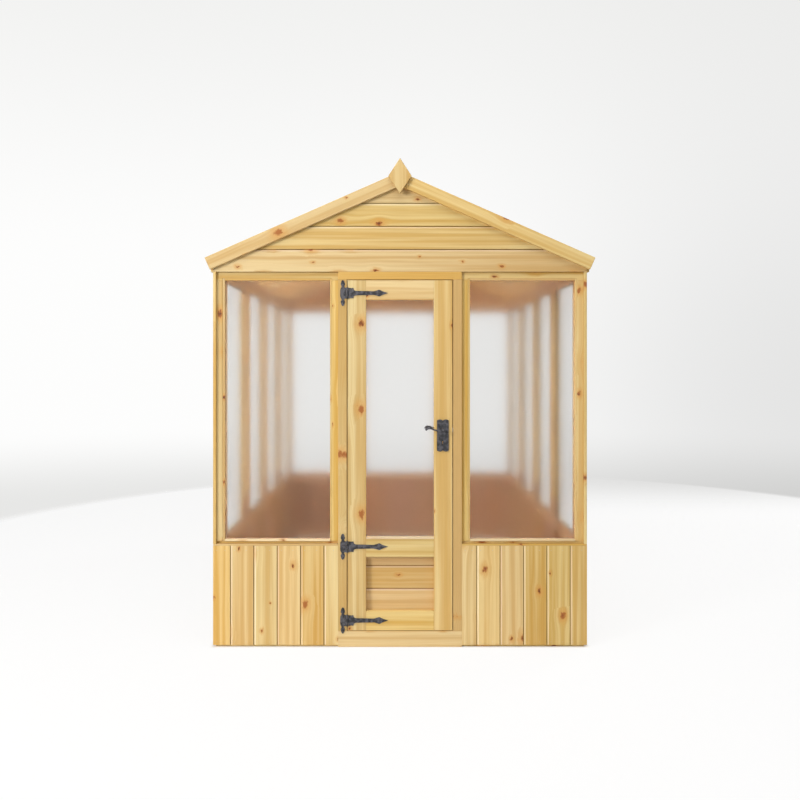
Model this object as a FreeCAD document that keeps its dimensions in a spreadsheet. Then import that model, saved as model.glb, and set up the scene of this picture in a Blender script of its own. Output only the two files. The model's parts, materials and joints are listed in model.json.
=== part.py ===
import FreeCAD, Part
import math
import os
from types import SimpleNamespace

import Sketcher

# Wooden greenhouse: boarded low walls, glazed upper walls and pitched roof, one door, one roof vent.
# Millimetres, +Z up, front gable towards -Y, origin on the ground at the middle of the footprint.

SIZES = {
    # walls
    "wall_width": 1800,
    "wall_depth": 2400,
    "dwarf_height": 495,
    "plate_height": 1806,
    "rail_height": 45,
    "board_thick": 12,
    "board_cover": 112.6,
    "board_shift": 6.2,
    "board_lift": 10,
    "sill_nose": 8,
    "joint_gap": 0.6,
    "bevel_width": 12,
    "bevel_depth": 4,
    "tongue_length": 6,
    "tongue_thick": 3.4,
    "corner_thick": 14,
    "side_windows": 4,
    "back_middle": 632,
    # window frames
    "frame_thick": 38,
    "frame_width": 40,
    "frame_foot": 12,
    "foot_setback": 6,
    "pane_thick": 3,
    "bead_width": 10,
    "bead_depth": 26,
    "bead_setback": 2,
    "drip_height": 8,
    "drip_nose": 3,
    # doorway and door
    "doorway_width": 512,
    "header_height": 38,
    "post_width": 42,
    "threshold_height": 78,
    "stop_thick": 12,
    "stop_depth": 10,
    "door_gap": 3.5,
    "door_thick": 38,
    "stile_width": 89,
    "top_rail": 94,
    "mid_rail_drop": 62,
    "mid_rail_rise": 24,
    "bottom_rail": 92,
    "tenon_length": 45,
    "tenon_thick": 13,
    "door_pane_depth": 28,
    "panel_lap": 12,
    "panel_cover": 111,
    "panel_shift": 29,
    # tee hinges
    "hinge_head_inset": 62,
    "hinge_mid_inset": 50,
    "hinge_foot_inset": 48,
    "hinge_plate": 3,
    "strap_length": 197,
    "head_height": 126,
    "knuckle_radius": 5,
    "knuckle_height": 52,
    "pin_radius": 2.5,
    "pin_clearance": 0.06,
    # lock and handle
    "lock_backset": 46.5,
    "lever_height": 1044,
    "keyhole_drop": 61,
    "back_plate_wide": 57,
    "back_plate_tall": 154,
    "back_plate_thick": 4,
    "lever_reach": 86,
    "lever_thick": 9,
    "lever_standoff": 24,
    "spindle_side": 8,
    "hub_radius": 7,
    "latch_throw": 12,
    "dead_throw": 14,
    "lock_case_deep": 64,
    "lock_case_margin": 45,
    "face_plate": 3,
    "face_margin": 14,
    "strike_thick": 1.5,
    "strike_margin": 28,
    "bolt_thick": 12,
    "bolt_tall": 20,
    # gables and roof
    "roof_angle": 23.74,
    "eaves_lift": 82.2,
    "gable_cover": 111,
    "gable_drop": 2,
    "tie_height": 36,
    "barge_wide": 62,
    "barge_thick": 18,
    "eaves_overhang": 37,
    "finial_half": 55.5,
    "finial_above": 61,
    "finial_below": 107,
    "rafter_depth": 45,
    "rafter_width": 28,
    "ridge_depth": 70,
    "cap_thick": 8,
    "cap_width": 40,
    "roof_pane": 4,
    "pane_ridge_gap": 14,
    "ridge_cap_wide": 58,
    "ridge_cap_thick": 16,
    "eaves_thick": 12,
    # roof vent
    "vent_head": 64,
    "vent_length": 469,
    "vent_member": 44,
    "vent_thick": 20,
    "vent_hinge_radius": 3.5,
    "vent_pin_radius": 1.5,
    "vent_leaf_wide": 50,
    "vent_leaf_long": 28,
    "vent_leaf_thick": 2.5,
    "stay_length": 220,
}

doc = FreeCAD.newDocument("Greenhouse")
sheet = doc.addObject("Spreadsheet::Sheet", "Sizes")
for row, (alias, value) in enumerate(SIZES.items(), 1):
    sheet.set(f"A{row}", alias.replace("_", " "))
    sheet.set(f"B{row}", str(value))
    sheet.setAlias(f"B{row}", alias)
doc.recompute()


class Dim:
    """A length with the value it has now and the sheet expression it follows."""

    def __init__(self, value, text=None):
        self.value = float(value)
        self.text = text or f"{float(value):.6g}"

    def join(self, other, sign, value):
        return Dim(value, f"({self.text} {sign} {other.text})")

    def __add__(self, other):
        other = dim(other)
        return self.join(other, "+", self.value + other.value)

    def __sub__(self, other):
        other = dim(other)
        return self.join(other, "-", self.value - other.value)

    def __mul__(self, other):
        other = dim(other)
        return self.join(other, "*", self.value * other.value)

    def __truediv__(self, other):
        other = dim(other)
        return self.join(other, "/", self.value / other.value)

    def __neg__(self):
        return Dim(-self.value, f"(0 - {self.text})")

    __radd__ = __add__
    __rmul__ = __mul__

    def __rsub__(self, other):
        return dim(other) - self


def dim(value):
    return value if isinstance(value, Dim) else Dim(value)


def sine(angle):
    return Dim(math.sin(math.radians(angle.value)), f"sin({angle.text})")


def cosine(angle):
    return Dim(math.cos(math.radians(angle.value)), f"cos({angle.text})")


def round_up(amount):
    return Dim(math.ceil(amount.value), f"ceil({amount.text})")


s = SimpleNamespace(**{alias: Dim(getattr(sheet, alias), f"Sizes.{alias}") for alias in SIZES})
nodes = []


def bind(item, prop, value):
    item.setExpression(prop, dim(value).text)


def place(item, x, y, z):
    for axis, value in zip("xyz", (x, y, z)):
        bind(item, f".Placement.Base.{axis}", value)
    return item


def timber(name, x, y, z):
    """A squared piece between two bounds on each axis."""
    box = doc.addObject("Part::Box", name)
    for prop, (low, high) in zip(("Length", "Width", "Height"), (x, y, z)):
        bind(box, prop, dim(high) - low)
    return place(box, x[0], y[0], z[0])


def rod(name, radius, low, x, y, height, along="z"):
    """A round bar that starts at the given point and runs along z or y."""
    bar = doc.addObject("Part::Cylinder", name)
    bind(bar, "Radius", radius)
    bind(bar, "Height", height)
    if along == "y":
        bar.Placement.Rotation = FreeCAD.Rotation(FreeCAD.Vector(1, 0, 0), -90)
    return place(bar, x, y, low)


def cut(name, base, *tools):
    """The base with every tool taken away."""
    for step, tool in enumerate(tools):
        result = doc.addObject("Part::Cut", f"{name}_cut{step}")
        result.Base = base
        result.Tool = tool
        base = result
    return base


def join(name, *pieces):
    result = doc.addObject("Part::MultiFuse", name)
    result.Shapes = list(pieces)
    result.Refine = True
    return result


def common(name, base, tool):
    result = doc.addObject("Part::Common", name)
    result.Base = base
    result.Tool = tool
    return result


def node(label, *pieces):
    """One exported sub-part; several like pieces become a group of separate solids."""
    if len(pieces) == 1:
        item = pieces[0]
    else:
        item = doc.addObject("Part::Compound", f"group_{label}")
        item.Links = list(pieces)
    item.Label = label
    nodes.append(item)
    return item


def body(name, x, y, z, turn=None):
    item = doc.addObject("PartDesign::Body", name)
    if turn:
        item.Placement.Rotation = turn
    return place(item, x, y, z)


def origin_feature(owner, role):
    return [item for item in owner.Origin.OriginFeatures if item.Role == role][0]


def sketch(owner, role):
    item = owner.newObject("Sketcher::SketchObject", f"{owner.Name}_sketch")
    item.AttachmentSupport = [(origin_feature(owner, role), "")]
    item.MapMode = "FlatFace"
    return item


def fix_point(item, edge, end, x, y):
    for kind, value in (("DistanceX", dim(x)), ("DistanceY", dim(y))):
        index = item.addConstraint(Sketcher.Constraint(kind, -1, 1, edge, end, value.value))
        bind(item, f"Constraints[{index}]", value)


def outline(owner, role, corners):
    """A closed outline held by the sheet at each corner; a third value bows the edge after it."""
    item = sketch(owner, role)
    points = [FreeCAD.Vector(dim(corner[0]).value, dim(corner[1]).value, 0) for corner in corners]
    ends = []
    for index, corner in enumerate(corners):
        start = points[index]
        stop = points[(index + 1) % len(points)]
        if len(corner) == 3:
            chord = stop - start
            middle = (start + stop) / 2 + FreeCAD.Vector(chord.y, -chord.x, 0) * (corner[2] / 2)
            edge = item.addGeometry(Part.Arc(start, middle, stop), False)
            turned = (item.getPoint(edge, 1) - start).Length > 1e-6
            ends.append((2, 1) if turned else (1, 2))
            ratio = (1 + corner[2] ** 2) / (4 * abs(corner[2]))
            target = corners[(index + 1) % len(corners)]
            across = dim(target[0]) - corner[0]
            rise = dim(target[1]) - corner[1]
            span = Dim(chord.Length, f"sqrt({across.text} * {across.text} + {rise.text} * {rise.text})")
            held = item.addConstraint(Sketcher.Constraint("Radius", edge, chord.Length * ratio))
            bind(item, f"Constraints[{held}]", span * ratio)
        else:
            item.addGeometry(Part.LineSegment(start, stop), False)
            ends.append((1, 2))
    for index in range(len(corners)):
        after = (index + 1) % len(corners)
        item.addConstraint(Sketcher.Constraint("Coincident", index, ends[index][1], after, ends[after][0]))
    for index, corner in enumerate(corners):
        fix_point(item, index, ends[index][0], corner[0], corner[1])
    return item


def circle(owner, role, x, y, radius):
    item = sketch(owner, role)
    centre = FreeCAD.Vector(dim(x).value, dim(y).value, 0)
    edge = item.addGeometry(Part.Circle(centre, FreeCAD.Vector(0, 0, 1), dim(radius).value), False)
    index = item.addConstraint(Sketcher.Constraint("Radius", edge, dim(radius).value))
    bind(item, f"Constraints[{index}]", radius)
    fix_point(item, edge, 3, x, y)
    return item


def pad(owner, profile, length, symmetric=False):
    item = owner.newObject("PartDesign::Pad", f"{owner.Name}_pad")
    item.Profile = profile
    bind(item, "Length", length)
    if symmetric:
        item.SideType = "Symmetric"
    owner.Tip = item
    return item


def pocket(owner, profile, length=None):
    """A cut to both sides of the sketch, right through unless a length is given."""
    item = owner.newObject("PartDesign::Pocket", f"{owner.Name}_pocket")
    item.Profile = profile
    item.SideType = "Symmetric"
    if length is None:
        item.Type = "ThroughAll"
    else:
        bind(item, "Length", length)
    owner.Tip = item
    return item


def repeat(owner, feature, axis, length, count):
    item = owner.newObject("PartDesign::LinearPattern", f"{owner.Name}_row")
    item.Originals = [feature]
    item.Direction = (origin_feature(owner, axis), [""])
    bind(item, "Length", length)
    bind(item, "Occurrences", count)
    owner.Tip = item
    return item


def prism(name, corners, y):
    """An outline in the XZ plane, thickened between two bounds on Y."""
    item = body(name, 0, y[1], 0)
    pad(item, outline(item, "XZ_Plane", corners), dim(y[1]) - y[0])
    return item


def copy_at(name, source, x, y, z):
    item = doc.addObject("App::Link", name)
    item.LinkedObject = source
    item.Placement = source.Placement
    return place(item, x, y, z)


half_width = s.wall_width / 2
half_depth = s.wall_depth / 2
wall_inner = s.board_thick + s.frame_thick
sill_low = s.dwarf_height - s.rail_height
board_high = s.dwarf_height - s.sill_nose
pane_low = s.dwarf_height + s.frame_foot
pane_high = s.plate_height - s.frame_width
jamb_in = s.doorway_width / 2
jamb_out = jamb_in + s.post_width
back_in = s.back_middle / 2
back_out = back_in + s.post_width
skin_width = half_width - s.board_thick
skin_depth = half_depth - s.board_thick
room_depth = half_depth - wall_inner
doorway_head = s.plate_height - s.header_height
glazed_width = half_width - s.corner_thick


def wall_span(wall, along, inward):
    """The X and Y bounds of a piece given along a wall and inward from its outer face."""
    near, far = dim(inward[0]), dim(inward[1])
    if wall == "front":
        return along, (near - half_depth, far - half_depth)
    if wall == "back":
        return along, (half_depth - far, half_depth - near)
    if wall == "left":
        return (near - half_width, far - half_width), along
    return (half_width - far, half_width - near), along


def wall_timber(wall, name, along, inward, z):
    x, y = wall_span(wall, along, inward)
    return timber(f"{wall}_{name}", x, y, z)


# low walls: rails and studs
framing = (s.board_thick, wall_inner)
rail_spans = [
    ("front", "left", (-skin_width, -jamb_out)),
    ("front", "right", (jamb_out, skin_width)),
    ("back", "whole", (-skin_width, skin_width)),
    ("left", "whole", (-room_depth, room_depth)),
    ("right", "whole", (-room_depth, room_depth)),
]
node("bottom_rails", *[wall_timber(wall, f"{part}_bottom_rail", along, framing, (0, s.rail_height))
                       for wall, part, along in rail_spans])
nose_spans = [(-half_width, -jamb_out), (jamb_out, half_width), (-half_width, half_width),
              (-skin_depth, skin_depth), (-skin_depth, skin_depth)]
sills = []
for (wall, part, along), over in zip(rail_spans, nose_spans):
    rail = wall_timber(wall, f"{part}_sill_rail", along, framing, (sill_low, s.dwarf_height))
    nose = wall_timber(wall, f"{part}_sill_nose", over, (0, s.board_thick), (board_high, s.dwarf_height))
    sills.append(join(f"{wall}_{part}_sill", rail, nose))
node("sill_rails", *sills)

bay_count = int(round(s.side_windows.value))
bay = (room_depth * 2 - s.post_width * (s.side_windows - 1)) / s.side_windows
bay_starts = [index * (bay + s.post_width) - room_depth for index in range(bay_count)]
end_stud = (skin_width - s.frame_width, skin_width)
stud_spans = [("front", "outer", end_stud), ("front", "inner", (jamb_out, jamb_out + s.frame_width)),
              ("back", "outer", end_stud), ("back", "inner", (back_in, back_out))]
studs = []
for wall, part, (low, high) in stud_spans:
    studs.append(wall_timber(wall, f"left_{part}_stud", (-high, -low), framing, (s.rail_height, sill_low)))
    studs.append(wall_timber(wall, f"right_{part}_stud", (low, high), framing, (s.rail_height, sill_low)))
for wall in ("left", "right"):
    ends = [(-room_depth, s.frame_width - room_depth), (room_depth - s.frame_width, room_depth)]
    under = [(start - s.post_width, start) for start in bay_starts[1:]]
    for index, along in enumerate(ends + under):
        studs.append(wall_timber(wall, f"stud{index}", along, framing, (s.rail_height, sill_low)))
node("dwarf_studs", *studs)


# windows: a frame rebated on three sides, a pane standing on its foot, beads and an inner strip
def window(wall, index, low, high):
    hole = (low + s.frame_width, high - s.frame_width)
    lap = (hole[0] - s.bead_width, hole[1] + s.bead_width)
    lap_z = (pane_low, pane_high + s.bead_width)
    glass = s.board_thick + s.bead_depth
    glass_back = glass + s.pane_thick
    name = f"window{index}"
    rebate = wall_timber(wall, f"{name}_rebate", lap, (s.board_thick, glass_back), lap_z)
    upright_z = (pane_low, pane_high)
    rebated = [
        wall_timber(wall, f"{name}_stile_a", (low, hole[0]), framing, upright_z),
        wall_timber(wall, f"{name}_stile_b", (hole[1], high), framing, upright_z),
        wall_timber(wall, f"{name}_head", (low, high), framing, (pane_high, s.plate_height)),
    ]
    foot = wall_timber(wall, f"{name}_foot", (low, high), (s.board_thick + s.foot_setback, wall_inner),
                       (s.dwarf_height, pane_low))
    frame = [cut(member.Name, member, rebate) for member in rebated] + [foot]
    pane = wall_timber(wall, f"{name}_pane", lap, (glass, glass_back), lap_z)
    bead = (s.board_thick + s.bead_setback, glass)
    drip_z = (pane_low, pane_low + s.drip_height)
    beads = [
        wall_timber(wall, f"{name}_bead_a", (lap[0], hole[0]), bead, lap_z),
        wall_timber(wall, f"{name}_bead_b", (hole[1], lap[1]), bead, lap_z),
        wall_timber(wall, f"{name}_bead_head", hole, bead, (pane_high, lap_z[1])),
        wall_timber(wall, f"{name}_drip", hole, (s.board_thick - s.drip_nose, glass), drip_z),
    ]
    strip = wall_timber(wall, f"{name}_strip", hole, (glass_back, wall_inner), drip_z)
    return frame, pane, beads, strip


windows = {
    "front": [(-glazed_width, -jamb_out), (jamb_out, glazed_width)],
    "back": [(-glazed_width, -back_out), (-back_in, back_in), (back_out, glazed_width)],
    "left": [(start, start + bay) for start in bay_starts],
    "right": [(start, start + bay) for start in bay_starts],
}
window_beads = []
window_strips = []
side_frames = []
side_panes = []
for wall, spans in windows.items():
    sets = [window(wall, index, low, high) for index, (low, high) in enumerate(spans)]
    members = [member for made in sets for member in made[0]]
    panes = [made[1] for made in sets]
    if wall in ("front", "back"):
        node(f"{wall}_window_frames", *members)
        node(f"{wall}_panes", *panes)
    else:
        side_frames += members
        side_panes += panes
    window_beads += [bead for made in sets for bead in made[2]]
    window_strips += [made[3] for made in sets]
node("side_window_frames", *side_frames)
node("side_panes", *side_panes)
node("glazing_beads", *window_beads)
node("glazing_strips", *window_strips)


def mullion(wall, index, low, high):
    return wall_timber(wall, f"mullion{index}", (low, high), (0, wall_inner),
                       (s.dwarf_height, s.plate_height))


mullions = [mullion("back", 0, -back_out, -back_in), mullion("back", 1, back_in, back_out)]
for wall in ("left", "right"):
    for index, start in enumerate(bay_starts[1:]):
        mullions.append(mullion(wall, index, start - s.post_width, start))
node("mullions", *mullions)

corners = []
for wall in ("front", "back"):
    for side, along in (("left", (-half_width, -glazed_width)), ("right", (glazed_width, half_width))):
        corners.append(wall_timber(wall, f"{side}_corner", along, (0, wall_inner),
                                   (s.dwarf_height, s.plate_height)))
node("corner_strips", *corners)


# tongue-and-groove boarding
def board_profile(cover):
    """One board in plan: outer face at 0, bevel and tongue on the near edge, groove on the far edge."""
    wide = cover - s.joint_gap
    low = (s.board_thick - s.tongue_thick) / 2
    high = (s.board_thick + s.tongue_thick) / 2
    slack = s.joint_gap / 2
    seat = wide - s.tongue_length - s.joint_gap
    return [
        (0, s.bevel_depth), (s.bevel_width, 0), (wide, 0), (wide, low - slack), (seat, low - slack),
        (seat, high + slack), (wide, high + slack), (wide, s.board_thick), (0, s.board_thick), (0, high),
        (-s.tongue_length, high), (-s.tongue_length, low), (0, low),
    ]


def boarding(name, cover, run, shift, length, base, turn, room):
    """A row of boards over a run, trimmed to the room it has; shift moves the joints along the run."""
    count = round_up(run / cover)
    start = (count * cover - run) / 2 + shift
    row = body(f"{name}_row", *base(start), turn)
    board = pad(row, outline(row, "XY_Plane", board_profile(cover)), length)
    repeat(row, board, "X_Axis", cover * (count - 1), count)
    return common(name, row, room)


TURN = {"front": 0, "back": 180, "left": -90, "right": 90}


def upright_boards(wall, name, low, high, shift=0):
    z = (s.board_lift, board_high)
    run = dim(high) - low
    turn = FreeCAD.Rotation(FreeCAD.Vector(0, 0, 1), TURN[wall])
    corner = {
        "front": lambda start: (low - start, -half_depth, z[0]),
        "back": lambda start: (high + start, half_depth, z[0]),
        "left": lambda start: (-half_width, high + start, z[0]),
        "right": lambda start: (half_width, low - start, z[0]),
    }[wall]
    room = wall_timber(wall, f"{name}_room", (low, high), (0, s.board_thick), z)
    return boarding(name, s.board_cover, run, shift, z[1] - z[0], corner, turn, room)


node("front_boards",
     upright_boards("front", "front_left_boarding", -half_width, -jamb_out, -s.board_shift),
     upright_boards("front", "front_right_boarding", jamb_out, half_width, s.board_shift))
node("back_boards", upright_boards("back", "back_boarding", -half_width, half_width))
node("left_boards", upright_boards("left", "left_boarding", -skin_depth, skin_depth))
node("right_boards", upright_boards("right", "right_boarding", -skin_depth, skin_depth))

# doorway
front = -half_depth
posts_z = (s.threshold_height, doorway_head)
post_depth = (0, wall_inner)
node("door_hinge_post", wall_timber("front", "hinge_post", (-jamb_out, -jamb_in), post_depth, posts_z))
node("door_header", wall_timber("front", "header", (-jamb_out, jamb_out), post_depth,
                                (doorway_head, s.plate_height)))
node("door_threshold", wall_timber("front", "threshold", (-jamb_out, jamb_out), post_depth,
                                   (0, s.threshold_height)))
stop_y = (s.door_thick + 1, s.door_thick + 1 + s.stop_depth)
stop_in = jamb_in - s.stop_thick
node("door_stops",
     wall_timber("front", "hinge_stop", (-jamb_in, -stop_in), stop_y, posts_z),
     wall_timber("front", "lock_stop", (stop_in, jamb_in), stop_y, posts_z),
     wall_timber("front", "head_stop", (-stop_in, stop_in), stop_y,
                 (doorway_head - s.stop_thick, doorway_head)))

# lock levels and the lock post, cut for the strike plate and both bolts
door_edge = jamb_in - s.door_gap
lever_x = door_edge - s.lock_backset
lever_z = s.lever_height
key_z = lever_z - s.keyhole_drop
bolt_low = (s.door_thick - s.bolt_thick) / 2
bolt_y = (bolt_low, bolt_low + s.bolt_thick)


def around(low, high, slack):
    return dim(low) - slack, dim(high) + slack


def tall(centre, slack=0):
    return centre - s.bolt_tall / 2 - slack, centre + s.bolt_tall / 2 + slack


strike_y = (bolt_low - 5, bolt_low + s.bolt_thick + 5)
strike_z = (key_z - s.strike_margin, lever_z + s.strike_margin)
strike_x = (jamb_in, jamb_in + s.strike_thick)
keeps = [wall_timber("front", f"{part}_keep", (jamb_in, jamb_in + s.dead_throw + 6),
                     around(*bolt_y, 1), tall(level, 2))
         for part, level in (("latch", lever_z), ("dead", key_z))]
post = wall_timber("front", "lock_post", (jamb_in, jamb_out), post_depth, posts_z)
seat = wall_timber("front", "strike_seat", strike_x, strike_y, strike_z)
node("door_lock_post", cut("lock_post", post, seat, *keeps))
strike = wall_timber("front", "strike_blank", strike_x, strike_y, strike_z)
node("strike_plate", cut("strike", strike, *keeps))

# door: stiles and tenoned rails
door_low = s.threshold_height + 2
door_high = doorway_head - 3
opening = door_edge - s.stile_width
mid_rail_low = s.dwarf_height - s.mid_rail_drop
mid_rail_high = s.dwarf_height + s.mid_rail_rise
glass_low = mid_rail_high
glass_high = door_high - s.top_rail
panel_low = door_low + s.bottom_rail
panel_high = mid_rail_low
panel_face = s.door_thick - s.board_thick
door_y = (0, s.door_thick)
tenon_y = ((s.door_thick - s.tenon_thick) / 2 - 2, (s.door_thick + s.tenon_thick) / 2 - 2)

lap_x = (-opening - s.panel_lap, opening + s.panel_lap)
glass_z = (glass_low - s.panel_lap, glass_high + s.panel_lap)
panel_z = (panel_low - s.panel_lap, panel_high + s.panel_lap)
glass_rebate = wall_timber("front", "door_glass_rebate", lap_x, (s.door_pane_depth, s.door_thick), glass_z)
panel_rebate = wall_timber("front", "door_panel_rebate", lap_x, (panel_face, s.door_thick), panel_z)
rails = {
    "top": (glass_high, door_high),
    "mid": (mid_rail_low, mid_rail_high),
    "bottom": (door_low, panel_low),
}
mortises = []
for part, (low, high) in rails.items():
    reach = opening + s.tenon_length
    tenon_z = (low + s.panel_lap + 4, high - s.panel_lap - 4)
    rail = wall_timber("front", f"{part}_rail", (-opening, opening), door_y, (low, high))
    tenon = wall_timber("front", f"{part}_tenon", (-reach, reach), tenon_y, tenon_z)
    rebates = {"top": [glass_rebate], "mid": [glass_rebate, panel_rebate], "bottom": [panel_rebate]}[part]
    node(f"door_{part}_rail", cut(f"{part}_rail", join(f"{part}_rail_tenoned", rail, tenon), *rebates))
    mortises.append(wall_timber("front", f"{part}_mortise", around(-reach, reach, 0.3),
                                around(*tenon_y, 0.2), around(*tenon_z, 0.2)))

case_x = (door_edge - s.face_plate - s.lock_case_deep, door_edge - s.face_plate)
case_y = (bolt_low - 2, bolt_low + s.bolt_thick + 2)
case_z = (key_z - s.lock_case_margin, lever_z + s.lock_case_margin)
face_x = (door_edge - s.face_plate, door_edge)
face_z = (case_z[0] - s.face_margin, case_z[1] + s.face_margin)
face_y = (bolt_low - 5, bolt_low + s.bolt_thick + 5)
lock_mortise = [
    wall_timber("front", "case_mortise", around(*case_x, 0.3), around(*case_y, 0.2), around(*case_z, 0.2)),
    wall_timber("front", "face_mortise", face_x, around(*face_y, 0.2), around(*face_z, 0.2)),
]
spindle_half = s.hub_radius + 0.3
spindle_hole = wall_timber("front", "spindle_hole", (lever_x - spindle_half, lever_x + spindle_half),
                           (-1, s.door_thick + 1), (lever_z - spindle_half, lever_z + spindle_half))
key_slot = wall_timber("front", "key_slot", (lever_x - 2, lever_x + 2), (-1, s.door_thick + 1),
                       (key_z - 7, key_z + 5))

hinge_stile = wall_timber("front", "hinge_stile", (-door_edge, -opening), door_y, (door_low, door_high))
lock_stile = wall_timber("front", "lock_stile", (opening, door_edge), door_y, (door_low, door_high))
node("door_hinge_stile", cut("hinge_stile", hinge_stile, *mortises, glass_rebate, panel_rebate))
node("door_lock_stile", cut("lock_stile", lock_stile, *mortises, glass_rebate, panel_rebate, *lock_mortise,
                            spindle_hole, key_slot))


def edge_strips(wall, name, hole, margin, inward):
    """Four strips round a hole: two uprights and two crosspieces between them."""
    low, high, foot, head = hole
    across = (low + margin, high - margin)
    return [
        wall_timber(wall, f"{name}_a", (low, low + margin), inward, (foot, head)),
        wall_timber(wall, f"{name}_b", (high - margin, high), inward, (foot, head)),
        wall_timber(wall, f"{name}_c", across, inward, (foot, foot + margin)),
        wall_timber(wall, f"{name}_d", across, inward, (head - margin, head)),
    ]


glass_back = s.door_pane_depth + s.pane_thick
node("door_pane", wall_timber("front", "door_pane", lap_x, (s.door_pane_depth, glass_back), glass_z))
node("door_glazing_beads",
     wall_timber("front", "door_drip", (-opening, opening), (-s.drip_nose, s.door_pane_depth),
                 (glass_low, glass_low + s.drip_height)),
     *edge_strips("front", "door_strip", lap_x + glass_z, s.panel_lap, (glass_back, s.door_thick)))

LYING = FreeCAD.Rotation(FreeCAD.Vector(0, 1, 0), 90)
FACING_BACK = FreeCAD.Rotation(FreeCAD.Vector(0, 0, 1), 180) * LYING
panel_room = wall_timber("front", "panel_room", lap_x, (panel_face, s.door_thick), panel_z)
node("door_panel_boards", boarding(
    "door_panel", s.panel_cover, panel_z[1] - panel_z[0], s.panel_shift, lap_x[1] * 2,
    lambda start: (lap_x[0], front + panel_face, panel_z[1] + start), LYING, panel_room))

# tee hinges: the head plate and the strap are drawn from the pin's axis
axis_x = -(door_edge + jamb_in) / 2
axis_out = s.knuckle_radius + 0.5
long_unit = s.strap_length / 197
head_unit = s.head_height / 126
strap_half = [
    (2.4, 12.3), (5.8, 12.3), (5.8, 26), (13, 24.6), (23, 24), (29, 25.6), (31, 23), (32.5, 14.5),
    (42, 10.6), (129, 8.8), (142, 12.4), (153, 16), (158, 15.4), (164, 11.6), (177, 6),
]
strap_tip = [(197, 0)]
head_half = [
    (-2.4, 13.2), (-2.4, 26), (-9, 26), (-14, 28), (-15, 32), (-14.4, 35.5), (-10.8, 40), (-11, 44.5),
    (-14, 55), (-16.4, 60), (-21, 63), (-25.6, 60), (-28, 55), (-31, 44.5), (-31.2, 40), (-27.6, 35.5),
    (-27, 32), (-28, 27.5), (-32, 21), (-33.6, 12),
]


def both_halves(upper, tip, wide, high):
    lower = [(x, -z) for x, z in reversed(upper)]
    return [(wide * x, high * z) for x, z in upper + tip + lower]


def hinge_leaf(name, corners, barrel):
    """A flat leaf with a barrel on the pin's axis."""
    leaf = body(name, axis_x, front, hinge_top)
    pad(leaf, outline(leaf, "XZ_Plane", corners), s.hinge_plate)
    pad(leaf, circle(leaf, "XY_Plane", 0, -axis_out, s.knuckle_radius), barrel, symmetric=True)
    return leaf


hinge_top = door_high - s.hinge_head_inset
hinge_levels = {"mid": mid_rail_low + s.hinge_mid_inset, "low": door_low + s.hinge_foot_inset}
middle_barrel = s.knuckle_height * 0.48
strap = hinge_leaf("strap_top", both_halves(strap_half, strap_tip, long_unit, head_unit), middle_barrel)
pocket(strap, circle(strap, "XY_Plane", 0, -axis_out, s.pin_radius + s.pin_clearance))

# the head is notched for the strap's barrel, and its pin is riveted into the two knuckles that are left
head = hinge_leaf("head_top", both_halves(head_half, [], Dim(1), head_unit), s.knuckle_height)
notch = s.knuckle_radius + 0.8
pocket(head, outline(head, "XY_Plane", [(-notch, -axis_out - notch), (notch, -axis_out - notch), (notch, 1),
                                        (-notch, 1)]), middle_barrel + 0.8)
pin_length = s.knuckle_height + 6
pad(head, circle(head, "XY_Plane", 0, -axis_out, s.pin_radius), pin_length, symmetric=True)
node("hinge_straps", strap, *[copy_at(f"strap_{part}", strap, axis_x, front, level)
                              for part, level in hinge_levels.items()])
node("hinge_heads", head, *[copy_at(f"head_{part}", head, axis_x, front, level)
                            for part, level in hinge_levels.items()])

# sash lock: case, bolts, spindle, back plates and levers
latch_channel = wall_timber("front", "latch_channel", (lever_x + s.hub_radius + 0.6, door_edge + 1),
                            around(*bolt_y, 0.2), tall(lever_z, 0.2))
dead_channel = wall_timber("front", "dead_channel", (lever_x + 16, door_edge + 1), around(*bolt_y, 0.2),
                           tall(key_z, 0.2))
hub_bore = rod("hub_bore", s.hub_radius + 0.08, lever_z, lever_x, front - 1, s.door_thick + 2, "y")
case = join("lock_case_blank", wall_timber("front", "case", case_x, case_y, case_z),
            wall_timber("front", "face_plate", face_x, face_y, face_z))
node("lock_case", cut("lock_case", case, latch_channel, dead_channel, hub_bore, key_slot))

latch_out = s.door_gap + 6
latch_tail = lever_x + s.hub_radius + 0.8 + s.latch_throw
latch = body("latch_body", 0, 0, lever_z - s.bolt_tall / 2)
latch_nose = door_edge + latch_out
pad(latch, outline(latch, "XY_Plane", [
    (latch_tail, front + bolt_y[0]), (latch_nose, front + bolt_y[0]), (latch_nose, front + bolt_y[0] + 3),
    (latch_nose - latch_out + 1, front + bolt_y[1]), (latch_tail, front + bolt_y[1])]), s.bolt_tall)
node("latch_bolt", latch)
node("dead_bolt", wall_timber("front", "dead", (lever_x + 16.5, door_edge), bolt_y, tall(key_z)))

half_side = s.spindle_side / 2
lever_face = s.back_plate_thick + s.lever_standoff
spindle_bar = timber("spindle_bar", (lever_x - half_side, lever_x + half_side),
                     (front - lever_face, front + s.door_thick + lever_face),
                     (lever_z - half_side, lever_z + half_side))
hub = rod("spindle_hub", s.hub_radius, lever_z, lever_x, front + case_y[0], case_y[1] - case_y[0], "y")
node("spindle", join("spindle_whole", spindle_bar, hub))


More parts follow.
